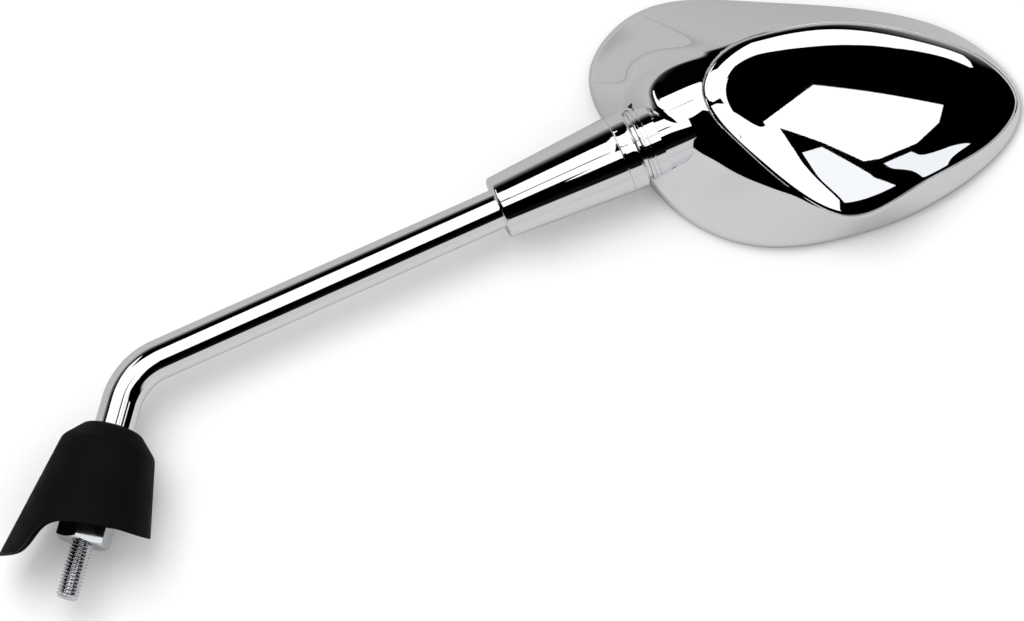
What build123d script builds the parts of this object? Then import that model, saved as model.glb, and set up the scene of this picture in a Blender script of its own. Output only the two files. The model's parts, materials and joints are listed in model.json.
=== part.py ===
from build123d import *
import math
import os

# Motorcycle mirror, left hand, as fitted: the stud points down, the glass looks back along +Y.
# Origin on the stud's axis, in the plane of the hex collar's lower face. Millimetres.

# Running, sliding and loose gaps between neighbours
SLIDE_GAP = 0.05
LOOSE_GAP = 0.1
JOINT_GAP = 0.3

# Mounting stud with its hex collar
STUD_R = 4.0
STUD_LENGTH = 20.0
STUD_CHAMFER = 0.8
HEX_ACROSS_FLATS = 17.0
HEX_HEIGHT = 12.0
HEX_TURN = 15.0
HEX_CHAMFER = 30.0
SPIGOT_LENGTH = 16.0

# Stem tube: a short leg up from the collar, one bend, then the long arm
TUBE_R = 7.0
TUBE_WALL = 1.5
LEG_HEIGHT = 61.8
BEND_RADIUS = 24.0
ARM_RISE = 39.6

# Rubber boot, a bell over the collar with a tongue that hangs down on the inner side
BOOT_TOP = 42.0
BOOT_NECK_R = 10.0
BOOT_NECK_DROP = 0.8
BOOT_SHOULDER_R = 16.6
BOOT_SHOULDER_DROP = 7.4
BOOT_HEM_R = 26.6
BOOT_HEM = -12.0
BOOT_WALL = 3.5
BOOT_GRIP = 9.0
BOOT_ROUND = 5.0
BOOT_EDGE_TILT = 10.0
BOOT_EDGE = [(-31, -12.6), (-25.5, -11.4), (-20.4, -8.8), (-17.4, -3.4), (-14.2, 2.8),
             (-9.5, 5.4), (0, 7.2), (11, 8.0), (19.5, 7.5), (31, 8.6)]

# Ball joint at the end of the arm, measured from the ball's centre along the arm
PIVOT_REACH = 195.2
BALL_R = 8.0
BALL_NECK_R = 4.5
BALL_THREAD_R = 4.0
SEAT_WALL = 1.2
SEAT_GAP = 0.1
FRONT_SEAT = (42.0, 66.0)
REAR_SEAT = (84.0, 148.0)
TILT_SUM = 15.0

# Tapered sleeve on the tube's end and the ring that closes its wide end
SLEEVE_MOUTH = 4.0
SLEEVE_RING_LENGTH = 6.0
SLEEVE_LENGTH = 52.0
SLEEVE_NARROW_R = 11.0
SLEEVE_SEAM_R = 13.9
SLEEVE_WIDE_R = 14.1
SLEEVE_LIP = 1.4
SLEEVE_MOUTH_ROUND = 1.0
SLEEVE_GRIP = 22.0
CUP_R = 13.0
RING_SPIGOT_R = 10.5
RING_SPIGOT_LENGTH = 6.0

# Neck ring of the housing, with a rounded nose that rolls in the sleeve's cup
NECK_RING_R = 11.7
NECK_NOSE_GAP = 0.4
NECK_MOUTH_R = 8.0
NECK_LIP_R = 6.95
CUP_RIM = 4.5
CUP_HEIGHT = 10.6
SPRING_HOLE_R = 4.0
SPRING_THICK = 0.8
SPRING_RISE = 1.0
PLUG_THICK = 3.6
PLUG_HEX = 8.0
PLUG_HEX_DEPTH = 2.4

# Housing, in its own frame: x along the mirror, z out of its back, rim plane at z = 0
NECK_ANGLE = 24.5
PIVOT_HEIGHT = 20.8
SHELL_WALL = 2.5
LIP_HEIGHT = 5.0
LOFT_TOP = 38.0
RIM = [(-19.6, 27.1), (-7.2, 46.4), (35.9, 53), (87.4, 48.3), (115.4, 37), (129.7, 18.4),
       (108.3, -12.1), (70.4, -29.4), (35.9, -32.3), (11.7, -21.6), (-7.6, 1.1)]
CREST = [(3.2, 20.1), (13.4, 23.1), (35.9, 32.7), (83.4, 28.7), (106, 22.9), (117.7, 17.1),
         (99, 0.9), (68.9, -22.1), (39.4, -15.6), (26.6, -2.9), (10.4, 13.9)]
LID = [(19.7, 17.2), (26.2, 29.9), (42.8, 37.8), (63.4, 41.6), (98, 37.6), (122.1, 27.1),
       (128.4, 19.1), (122.1, 5.6), (94.5, -13.9), (70.4, -25.9), (53.1, -19.2), (32.4, -2.2)]
LID_CROWN = (68.4, 9.1, 27)
LID_SLOPE = 13.2
LID_RADIUS = 300.0
SHOULDER_POINT = (20.4, 19.1, 32.6)
SHOULDER_SLOPE = 5.0
FLANK_POINT = (16.9, -3.2, 27.8)
FLANK_TILT = (-0.124, -0.315, 0.941)
NEAR_WALL_POINT = (35.9, -32.3, 6.7)
NEAR_WALL_TILT = (-0.30, -0.68, 0.669)
BOSS_R = 13.3
BOSS_LENGTH = 24.0
BOSS_DROP = 0.3
BOSS_FACE = 0.3
NECK_BLOCK_R = 20.0
NECK_BLOCK_DEPTH = 2.5

# Glass, its gasket, pad and backing plate
GLASS_RADIUS = 1400.0
GLASS_THICK = 2.0
GLASS_CROWN = 0.3
GASKET_WALL = 1.4
GASKET_LIP = 1.2
GASKET_FRONT = 0.4
GASKET_BACK = 4.6
PAD_INSET = 6.5
PLATE_INSET = 10.5
PLATE_FRONT = 4.7
PLATE_THICK = 2.0
SCREW_R = 1.4
SCREW_HEAD_R = 2.8
SCREW_LENGTH = 7.0
POST_R = 3.6
POSTS = [(36.4, 25.1), (98.4, 27.1), (94.4, 1.1), (50.4, -8.9)]

ARM_DIRECTION = Vector(math.cos(math.radians(ARM_RISE)), 0, math.sin(math.radians(ARM_RISE)))
CORNER = Vector(0, 0, LEG_HEIGHT)
PIVOT = CORNER + ARM_DIRECTION * PIVOT_REACH
ARM = Plane(PIVOT, x_dir=(0, 1, 0), z_dir=ARM_DIRECTION).location
HEAD = (Plane(PIVOT, x_dir=ARM_DIRECTION, z_dir=(0, -1, 0)).location
        * Rot(Z=-NECK_ANGLE) * Pos(0, 0, -PIVOT_HEIGHT))
# The arm's axis seen from the housing's frame, pointing into the housing
NECK = Pos(0, 0, PIVOT_HEIGHT) * Rot(Z=NECK_ANGLE) * Rot(Y=90)

SEAT_IN_R = BALL_R + SEAT_GAP
SEAT_OUT_R = SEAT_IN_R + SEAT_WALL
POCKET_R = SEAT_OUT_R + JOINT_GAP
NOSE_R = CUP_R - NECK_NOSE_GAP
PLUG_FACE = CUP_HEIGHT + SPRING_RISE + SPRING_THICK
NECK_RING_REACH = PLUG_FACE + PLUG_THICK
SEAM = SLEEVE_MOUTH + SLEEVE_RING_LENGTH
SLEEVE_END = SLEEVE_MOUTH + SLEEVE_LENGTH
TUBE_END = SLEEVE_END - SLEEVE_GRIP
RING_FLOOR = SEAM + RING_SPIGOT_LENGTH
PLATE_BACK = PLATE_FRONT + PLATE_THICK
ON_BASE = (Align.CENTER, Align.CENTER, Align.MIN)
ON_TOP = (Align.CENTER, Align.CENTER, Align.MAX)
BIG = 400.0
OUTLINE_PIECES = 6


def turned(points):
    """A solid of revolution about Z from a profile of (radius, height) points."""
    return revolve(Plane.XZ * make_face(Polyline(*points, close=True)), Axis.Z)


def mounting_stud():
    """Threaded stud, hex collar and the spigot that goes up into the tube."""
    hexagon = RegularPolygon(HEX_ACROSS_FLATS / 2, 6, major_radius=False, rotation=HEX_TURN)
    corner = HEX_ACROSS_FLATS / math.sqrt(3)
    drop = (corner - HEX_ACROSS_FLATS / 2) * math.tan(math.radians(HEX_CHAMFER))
    flat = HEX_ACROSS_FLATS / 2
    blank = turned([(0, 0), (flat, 0), (corner, drop), (corner, HEX_HEIGHT - drop),
                    (flat, HEX_HEIGHT), (0, HEX_HEIGHT)])
    spigot_r = TUBE_R - TUBE_WALL - SLIDE_GAP
    shank = turned([(0, -STUD_LENGTH), (STUD_R - STUD_CHAMFER, -STUD_LENGTH),
                    (STUD_R, STUD_CHAMFER - STUD_LENGTH), (STUD_R, 0), (0, 0)])
    spigot = Pos(0, 0, HEX_HEIGHT) * Cylinder(
        spigot_r, SPIGOT_LENGTH, align=ON_BASE)
    return (extrude(hexagon, HEX_HEIGHT) & blank) + shank + spigot


def stem_tube():
    """Bent tube from the collar to its seat inside the sleeve."""
    end = CORNER + ARM_DIRECTION * (PIVOT_REACH - TUBE_END)
    path = FilletPolyline((0, 0, HEX_HEIGHT), CORNER, end, radius=BEND_RADIUS)
    section = Circle(TUBE_R) - Circle(TUBE_R - TUBE_WALL)
    return sweep(Pos(0, 0, HEX_HEIGHT) * section, path=path)


def rubber_boot():
    """Moulded bell that grips the tube, with its lower edge cut to a tongue."""
    bore = TUBE_R + SLIDE_GAP
    neck = (BOOT_NECK_R, BOOT_TOP - BOOT_NECK_DROP)
    shoulder = (BOOT_SHOULDER_R, BOOT_TOP - BOOT_SHOULDER_DROP)
    roof = BOOT_TOP - BOOT_GRIP
    slant = (BOOT_HEM_R - BOOT_SHOULDER_R) / (shoulder[1] - BOOT_HEM)
    inner_r = BOOT_HEM_R - BOOT_WALL - slant * (roof - BOOT_HEM)
    profile = make_face(Polyline(
        (bore, BOOT_TOP), neck, shoulder, (BOOT_HEM_R, BOOT_HEM), (BOOT_HEM_R - BOOT_WALL, BOOT_HEM),
        (inner_r, roof), (bore, roof), close=True))
    for bend in (neck, shoulder):
        profile = fillet(profile.vertices().sort_by_distance(bend)[0], BOOT_ROUND)
    bell = revolve(Plane.XZ * profile, Axis.Z)
    edge = Spline(*BOOT_EDGE)
    far_left, far_right = BOOT_EDGE[0], BOOT_EDGE[-1]
    low = BOOT_HEM - BOOT_ROUND
    below = make_face(edge + Polyline(far_right, (far_right[0], low), (far_left[0], low), far_left))
    return bell - Rot(X=BOOT_EDGE_TILT) * extrude(Plane.XZ * below, amount=2 * BOOT_HEM_R, both=True)


def taper_sleeve():
    """Tapered sleeve: bored for the tube, webbed for the ball stud, counterbored for the ring."""
    bore = TUBE_R + SLIDE_GAP
    spigot = RING_SPIGOT_R + SLIDE_GAP
    floor = RING_FLOOR + LOOSE_GAP
    thread = BALL_THREAD_R + SLIDE_GAP
    body = turned([(bore, -SLEEVE_END), (SLEEVE_NARROW_R, -SLEEVE_END), (SLEEVE_SEAM_R, -SEAM),
                   (spigot, -SEAM), (spigot, -floor), (thread, -floor), (thread, -TUBE_END),
                   (bore, -TUBE_END)])
    lip = body.edges().filter_by(GeomType.CIRCLE).group_by(Axis.Z)[0].sort_by(SortBy.RADIUS)[-1]
    return ARM * fillet(lip, SLEEVE_LIP)


def sleeve_ring():
    """End ring of the sleeve, with the concave cup that the neck ring rolls in."""
    hole = BALL_NECK_R + LOOSE_GAP
    body = turned([(hole, -RING_FLOOR), (RING_SPIGOT_R, -RING_FLOOR), (RING_SPIGOT_R, -SEAM),
                   (SLEEVE_SEAM_R, -SEAM), (SLEEVE_WIDE_R, -SLEEVE_MOUTH), (hole, -SLEEVE_MOUTH)])
    mouth = body.edges().filter_by(GeomType.CIRCLE).group_by(Axis.Z)[-1].sort_by(SortBy.RADIUS)[-1]
    return ARM * (fillet(mouth, SLEEVE_MOUTH_ROUND) - Sphere(CUP_R))


def ball_stud():
    """Ball, neck and the thread that screws into the sleeve's web."""
    stem = turned([(0, -TUBE_END), (BALL_THREAD_R, -TUBE_END), (BALL_THREAD_R, -RING_FLOOR),
                   (BALL_NECK_R, -RING_FLOOR), (BALL_NECK_R, 0), (0, 0)])
    return ARM * (Sphere(BALL_R) + stem)


def seat(angles):
    """Zone of a thin spherical shell around the ball, between two angles from the arm."""
    wedge = [(0, 0)]
    for angle in angles:
        turn = math.radians(angle)
        wedge.append((2 * SEAT_OUT_R * math.sin(turn), -2 * SEAT_OUT_R * math.cos(turn)))
    return ARM * ((Sphere(SEAT_OUT_R) - Sphere(SEAT_IN_R)) & turned(wedge))


def neck_ring():
    """Collar screwed into the housing: round nose, opening for the ball's neck, seat pocket."""
    height = NECK_RING_REACH + NOSE_R
    nose = Sphere(NOSE_R) + Cylinder(NOSE_R, NECK_RING_REACH,
                                     align=ON_BASE)
    body = nose & (Pos(0, 0, NECK_RING_REACH) * Cylinder(
        NECK_RING_R, height, align=ON_TOP))
    mouth = math.sqrt(NOSE_R ** 2 - NECK_MOUTH_R ** 2)
    lip = math.sqrt(POCKET_R ** 2 - NECK_LIP_R ** 2)
    flare = (NECK_MOUTH_R - NECK_LIP_R) / (mouth - lip)
    opening = turned([(0, 0), (NECK_LIP_R - flare * lip, 0),
                      (NECK_LIP_R + flare * (NOSE_R - lip), -NOSE_R), (0, -NOSE_R)])
    bore = Cylinder(POCKET_R, NECK_RING_REACH, align=ON_BASE)
    return HEAD * NECK * (body - opening - Sphere(POCKET_R) - bore)


def pressure_cup():
    """Cup that the disc spring presses on the rear seat."""
    outer = POCKET_R - LOOSE_GAP
    body = turned([(0, CUP_RIM), (outer, CUP_RIM), (outer, CUP_HEIGHT), (0, CUP_HEIGHT)])
    return HEAD * NECK * (body - Sphere(POCKET_R))


def disc_spring():
    """Coned spring washer between the cup and the plug."""
    outer = POCKET_R - LOOSE_GAP
    low = CUP_HEIGHT
    return HEAD * NECK * turned([(SPRING_HOLE_R, low), (outer, low + SPRING_RISE),
                                 (outer, low + SPRING_RISE + SPRING_THICK),
                                 (SPRING_HOLE_R, low + SPRING_THICK)])


def socket_plug():
    """Screwed plug at the back of the neck ring, with a hex socket."""
    outer = POCKET_R - SLIDE_GAP
    body = turned([(0, PLUG_FACE), (outer, PLUG_FACE), (outer, NECK_RING_REACH), (0, NECK_RING_REACH)])
    socket = Pos(0, 0, NECK_RING_REACH - PLUG_HEX_DEPTH) * extrude(
        RegularPolygon(PLUG_HEX / 2, 6, major_radius=False), PLUG_HEX_DEPTH)
    return HEAD * NECK * (body - socket)


def outline(points, inset):
    """Closed smooth outline through points that are pulled in towards their middle."""
    middle = sum((Vector(*point) for point in points), Vector()) / len(points)
    pulled = []
    for point in points:
        arm = Vector(*point) - middle
        pulled.append(middle + arm * (1 - inset / arm.length))
    loop = Spline(*pulled, periodic=True)
    cuts = [k / OUTLINE_PIECES for k in range(OUTLINE_PIECES + 1)]
    return make_face([loop.trim(start, end) for start, end in zip(cuts, cuts[1:])])


def half_space(point, normal, shift):
    """Block that fills the side of a plane which its normal points to."""
    plane = Plane(Vector(*point) - Vector(*normal) * shift, z_dir=normal)
    return plane * Box(BIG, BIG, BIG, align=ON_BASE)


def lid_centre():
    """Centre of the large sphere whose top is the gently crowned, sloping oval."""
    slope = math.radians(LID_SLOPE)
    return Vector(*LID_CROWN) - Vector(math.sin(slope), 0, math.cos(slope)) * LID_RADIUS


def lid_height(x, y):
    """Height of the oval's surface above the rim plane."""
    centre = lid_centre()
    return centre.Z + math.sqrt(LID_RADIUS ** 2 - (x - centre.X) ** 2 - (y - centre.Y) ** 2)


def housing_form(inset):
    """Solid outer form of the housing, or the same form one wall further in."""
    slope = math.radians(SHOULDER_SLOPE)
    rim = outline(RIM, inset)
    walls = loft([rim, Pos(0, 0, LIP_HEIGHT) * rim,
                  Pos(0, 0, LOFT_TOP) * outline(CREST, inset)], ruled=True)
    oval = extrude(outline(LID, inset), BIG)
    shoulder = half_space(SHOULDER_POINT, (-math.sin(slope), 0, math.cos(slope)), inset)
    flank = half_space(FLANK_POINT, FLANK_TILT, inset)
    near_wall = half_space(NEAR_WALL_POINT, NEAR_WALL_TILT, inset)
    lid = Pos(lid_centre()) * Sphere(LID_RADIUS - inset)
    return (walls - (shoulder - oval) - (flank - oval) - (near_wall - oval)) & lid


def neck_block(gap):
    """Filled corner of the housing behind the neck's opening, grown by a gap where a plate clears it."""
    block = NECK * Pos(0, 0, NECK_BLOCK_DEPTH + gap) * Cylinder(NECK_BLOCK_R + gap, 2 * NECK_BLOCK_R,
                                                                align=ON_TOP)
    return block & (Pos(0, 0, PLATE_FRONT - gap) * Box(BIG, BIG, BIG, align=ON_BASE))


def plate_post(x, y):
    """Post under the oval, drilled for a screw of the backing plate."""
    height = lid_height(x, y) - SHELL_WALL / 2 - PLATE_BACK
    post = Cylinder(POST_R, height, align=ON_BASE) - Cylinder(SCREW_R, SCREW_LENGTH, align=ON_BASE)
    return Pos(x, y, PLATE_BACK) * post


def mirror_shell():
    """Moulded housing: thin walls, neck boss with its relief, posts for the backing plate."""
    boss = NECK * Pos(0, 0, -BOSS_FACE) * Cylinder(BOSS_R, BOSS_LENGTH + BOSS_FACE, align=ON_BASE)
    boss = boss & (Pos(lid_centre()) * Sphere(LID_RADIUS - BOSS_DROP))
    bore = NECK_RING_R + SLIDE_GAP
    depth = NECK_RING_REACH + LOOSE_GAP
    mouth = math.hypot(SLEEVE_WIDE_R, SLEEVE_MOUTH) + JOINT_GAP
    spread = mouth + NECK_BLOCK_R * math.tan(math.radians(TILT_SUM))
    relief = NECK * turned([(0, depth), (bore, depth), (bore, -BOSS_FACE),
                            (mouth, -BOSS_FACE), (spread, -BOSS_FACE - NECK_BLOCK_R),
                            (0, -BOSS_FACE - NECK_BLOCK_R)])
    hollow = housing_form(SHELL_WALL) - neck_block(0)
    well = extrude(outline(RIM, SHELL_WALL), PLATE_FRONT)
    shell = housing_form(0) + boss - hollow - well + [plate_post(x, y) for x, y in POSTS]
    return HEAD * (shell - relief)


def glass_ball(depth):
    """Large sphere of the convex glass: its face, or a surface that lies deeper."""
    middle = sum((Vector(*point) for point in RIM), Vector()) / len(RIM)
    return Pos(middle.X, middle.Y, GLASS_CROWN + GLASS_RADIUS) * Sphere(GLASS_RADIUS - depth)


def mirror_glass():
    """Convex mirror glass."""
    blank = extrude(outline(RIM, SHELL_WALL + LOOSE_GAP + GASKET_WALL + LOOSE_GAP), GASKET_BACK)
    return HEAD * ((blank & glass_ball(0)) - glass_ball(GLASS_THICK))


def rim_gasket():
    """Rubber channel between the glass and the housing's lip."""
    outside = outline(RIM, SHELL_WALL + LOOSE_GAP)
    wall = outside - outline(RIM, SHELL_WALL + LOOSE_GAP + GASKET_WALL)
    lip = outside - outline(RIM, SHELL_WALL + LOOSE_GAP + GASKET_WALL + GASKET_LIP)
    front = extrude(lip, GASKET_BACK - GASKET_FRONT) - Pos(0, 0, -GASKET_FRONT) * glass_ball(0)
    return HEAD * Pos(0, 0, GASKET_FRONT) * (extrude(wall, GASKET_BACK - GASKET_FRONT) + front)


def adhesive_pad():
    """Foam pad that sticks the glass to its backing plate."""
    return HEAD * (extrude(outline(RIM, PAD_INSET), PLATE_FRONT) & glass_ball(GLASS_THICK))


def backing_plate():
    """Flat plate behind the glass, notched for the neck boss and drilled for its screws."""
    plate = Pos(0, 0, PLATE_FRONT) * extrude(outline(RIM, PLATE_INSET), PLATE_THICK)
    notch = NECK * Cylinder(BOSS_R + JOINT_GAP, 2 * BOSS_LENGTH)
    sinks = [Pos(x, y, PLATE_FRONT) * screw_form(LOOSE_GAP) for x, y in POSTS]
    return HEAD * (plate - notch - neck_block(JOINT_GAP) - sinks)


def screw_form(gap):
    """Countersunk screw, head face at z = 0, grown by a gap for the hole that takes it."""
    head = SCREW_HEAD_R + gap
    shank = SCREW_R + gap
    return turned([(0, 0), (head, 0), (shank, head - shank), (shank, SCREW_LENGTH), (0, SCREW_LENGTH)])


def plate_screw(x, y):
    """Screw through the backing plate into one post."""
    return HEAD * Pos(x, y, PLATE_FRONT) * screw_form(-SLIDE_GAP)


os.makedirs("parts", exist_ok=True)
export_step(mounting_stud(), "parts/mounting_stud.step")
export_step(stem_tube(), "parts/stem_tube.step")
export_step(rubber_boot(), "parts/rubber_boot.step")
export_step(taper_sleeve(), "parts/taper_sleeve.step")
export_step(sleeve_ring(), "parts/sleeve_ring.step")
export_step(ball_stud(), "parts/ball_stud.step")
export_step(seat(FRONT_SEAT), "parts/front_seat.step")
export_step(seat(REAR_SEAT), "parts/rear_seat.step")
export_step(neck_ring(), "parts/neck_ring.step")
export_step(pressure_cup(), "parts/pressure_cup.step")
export_step(disc_spring(), "parts/disc_spring.step")
export_step(socket_plug(), "parts/socket_plug.step")
export_step(mirror_shell(), "parts/mirror_shell.step")
export_step(mirror_glass(), "parts/mirror_glass.step")
export_step(rim_gasket(), "parts/rim_gasket.step")
export_step(adhesive_pad(), "parts/adhesive_pad.step")
export_step(backing_plate(), "parts/backing_plate.step")
for number, place in enumerate(POSTS, start=1):
    export_step(plate_screw(*place), f"parts/plate_screw_{number}.step")
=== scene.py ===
import json
import math

import bmesh
import bpy
import numpy as np
from mathutils import Matrix, Vector

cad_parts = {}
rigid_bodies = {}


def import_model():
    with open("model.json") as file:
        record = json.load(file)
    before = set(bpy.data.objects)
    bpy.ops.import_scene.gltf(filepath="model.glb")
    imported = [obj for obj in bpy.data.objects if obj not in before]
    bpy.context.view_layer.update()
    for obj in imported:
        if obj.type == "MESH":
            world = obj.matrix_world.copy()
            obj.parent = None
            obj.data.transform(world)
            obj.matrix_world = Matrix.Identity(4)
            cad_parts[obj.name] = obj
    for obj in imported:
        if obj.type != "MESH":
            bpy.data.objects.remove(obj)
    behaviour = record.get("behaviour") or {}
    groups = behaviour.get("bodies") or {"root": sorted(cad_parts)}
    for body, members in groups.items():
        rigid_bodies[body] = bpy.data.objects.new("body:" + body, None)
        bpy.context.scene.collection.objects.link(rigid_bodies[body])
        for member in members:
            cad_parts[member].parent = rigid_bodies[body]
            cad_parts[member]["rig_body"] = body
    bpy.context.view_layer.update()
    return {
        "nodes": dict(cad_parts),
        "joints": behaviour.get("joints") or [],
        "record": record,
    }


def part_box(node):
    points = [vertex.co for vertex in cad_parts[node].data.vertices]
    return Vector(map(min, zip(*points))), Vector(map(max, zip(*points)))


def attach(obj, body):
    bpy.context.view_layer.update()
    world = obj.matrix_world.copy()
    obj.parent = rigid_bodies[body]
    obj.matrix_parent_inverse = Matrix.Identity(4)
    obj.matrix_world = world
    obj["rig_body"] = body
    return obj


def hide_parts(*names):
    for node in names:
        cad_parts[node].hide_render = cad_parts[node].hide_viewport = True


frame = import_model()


# Mounting stud: hex collar, spigot and screw turned from one steel bar and bright zinc plated.
# The collar is the CAD bar's own; its plain lower end gives way to a rolled thread, which is
# one helical surface. The stud screws into the clamp on the handlebar.
MM = 0.001
WELD = 0.001 * MM
STUD_LENGTH = -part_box("mounting_stud")[0].z
STUD_RADIUS = 4.0 * MM
STUD_CREASE = math.radians(28)
THREAD_PITCH = 1.25 * MM
THREAD_DEPTH = 0.72 * MM
THREAD_CREST = 0.06
THREAD_FLANK = 2.6
THREAD_AROUND = 48
THREAD_ROWS = 16
TIP_CHAMFER = 0.9 * MM
TIP_CLOSE = 1.01
TIP_MIDDLE = 0.9999
GRAIN_DEPTH = 0.05 * MM

slot_of = {row["node"]: row["material_slot"] for row in frame["record"]["subparts"]}


def socket(tree, name, kind, side="INPUT"):
    """Adds a named input or output to a node tree."""
    return tree.interface.new_socket(name, in_out=side, socket_type=kind)


def wear_group():
    """Shader group: uneven polish as a roughness, and a fine grain as a height for a bump."""
    tree = bpy.data.node_groups.new("fine_wear", "ShaderNodeTree")
    for name in ("Patch Scale", "Grain Scale", "Smoothest", "Roughest"):
        socket(tree, name, "NodeSocketFloat")
    socket(tree, "Roughness", "NodeSocketFloat", "OUTPUT")
    socket(tree, "Height", "NodeSocketFloat", "OUTPUT")
    inputs = tree.nodes.new("NodeGroupInput")
    outputs = tree.nodes.new("NodeGroupOutput")
    place = tree.nodes.new("ShaderNodeTexCoord")
    patches = tree.nodes.new("ShaderNodeTexNoise")
    patches.inputs["Detail"].default_value = 5.0
    grain = tree.nodes.new("ShaderNodeTexNoise")
    grain.inputs["Detail"].default_value = 2.0
    spread = tree.nodes.new("ShaderNodeMapRange")
    spread.inputs["From Min"].default_value = 0.35
    spread.inputs["From Max"].default_value = 0.7
    link = tree.links.new
    link(place.outputs["Object"], patches.inputs["Vector"])
    link(place.outputs["Object"], grain.inputs["Vector"])
    link(inputs.outputs["Patch Scale"], patches.inputs["Scale"])
    link(inputs.outputs["Grain Scale"], grain.inputs["Scale"])
    link(patches.outputs["Fac"], spread.inputs["Value"])
    link(inputs.outputs["Smoothest"], spread.inputs["To Min"])
    link(inputs.outputs["Roughest"], spread.inputs["To Max"])
    link(spread.outputs["Result"], outputs.inputs["Roughness"])
    link(grain.outputs["Fac"], outputs.inputs["Height"])
    return tree


fine_wear = wear_group()


def finish(name, colour, metallic, patches, grain, roughness, bump):
    """Principled material whose roughness and grain come from the wear group. Patches and grain
    are counts to the metre, and roughness runs from the smoothest to the roughest patch."""
    material = bpy.data.materials.new(name)
    material.use_nodes = True
    nodes = material.node_tree.nodes
    link = material.node_tree.links.new
    shader = nodes["Principled BSDF"]
    shader.inputs["Base Color"].default_value = (*colour, 1)
    shader.inputs["Metallic"].default_value = metallic
    wear = nodes.new("ShaderNodeGroup")
    wear.node_tree = fine_wear
    wear.inputs["Patch Scale"].default_value = patches
    wear.inputs["Grain Scale"].default_value = grain
    wear.inputs["Smoothest"].default_value, wear.inputs["Roughest"].default_value = roughness
    relief = nodes.new("ShaderNodeBump")
    relief.inputs["Strength"].default_value = bump
    relief.inputs["Distance"].default_value = GRAIN_DEPTH
    link(wear.outputs["Roughness"], shader.inputs["Roughness"])
    link(wear.outputs["Height"], relief.inputs["Height"])
    link(relief.outputs["Normal"], shader.inputs["Normal"])
    return material


def soften(mesh, crease=math.radians(35)):
    """Smooth shading, with the edges kept sharp that turn by more than the crease angle. Normals
    that came along from the CAD's loose triangles go, as they no longer fit."""
    body = bmesh.new()
    body.from_mesh(mesh)
    for face in body.faces:
        face.smooth = True
    for edge in body.edges:
        edge.smooth = edge.is_manifold and edge.calc_face_angle(math.pi) < crease
    body.to_mesh(mesh)
    body.free()
    if mesh.has_custom_normals:
        mesh.attributes.remove(mesh.attributes["custom_normal"])


def add_piece(name, mesh, material, body, slot, *nodes):
    """Puts a finished mesh on a CAD body, in place of the CAD nodes that it stands for."""
    piece = bpy.data.objects.new(name, mesh)
    bpy.context.scene.collection.objects.link(piece)
    mesh.materials.clear()
    mesh.materials.append(material)
    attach(piece, body)
    if nodes:
        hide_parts(*nodes)


def grown(name, host, tree, values):
    """Plain mesh that a geometry node tree makes on a host object, which then goes."""
    modifier = host.modifiers.new(name, "NODES")
    modifier.node_group = tree
    for item in tree.interface.items_tree:
        if item.in_out == "INPUT" and item.name in values:
            modifier[item.identifier] = values[item.name]
    bpy.context.view_layer.update()
    graph = bpy.context.evaluated_depsgraph_get()
    mesh = bpy.data.meshes.new_from_object(host.evaluated_get(graph))
    mesh.name = name
    host.modifiers.remove(modifier)
    bpy.data.objects.remove(host)
    return mesh


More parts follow.
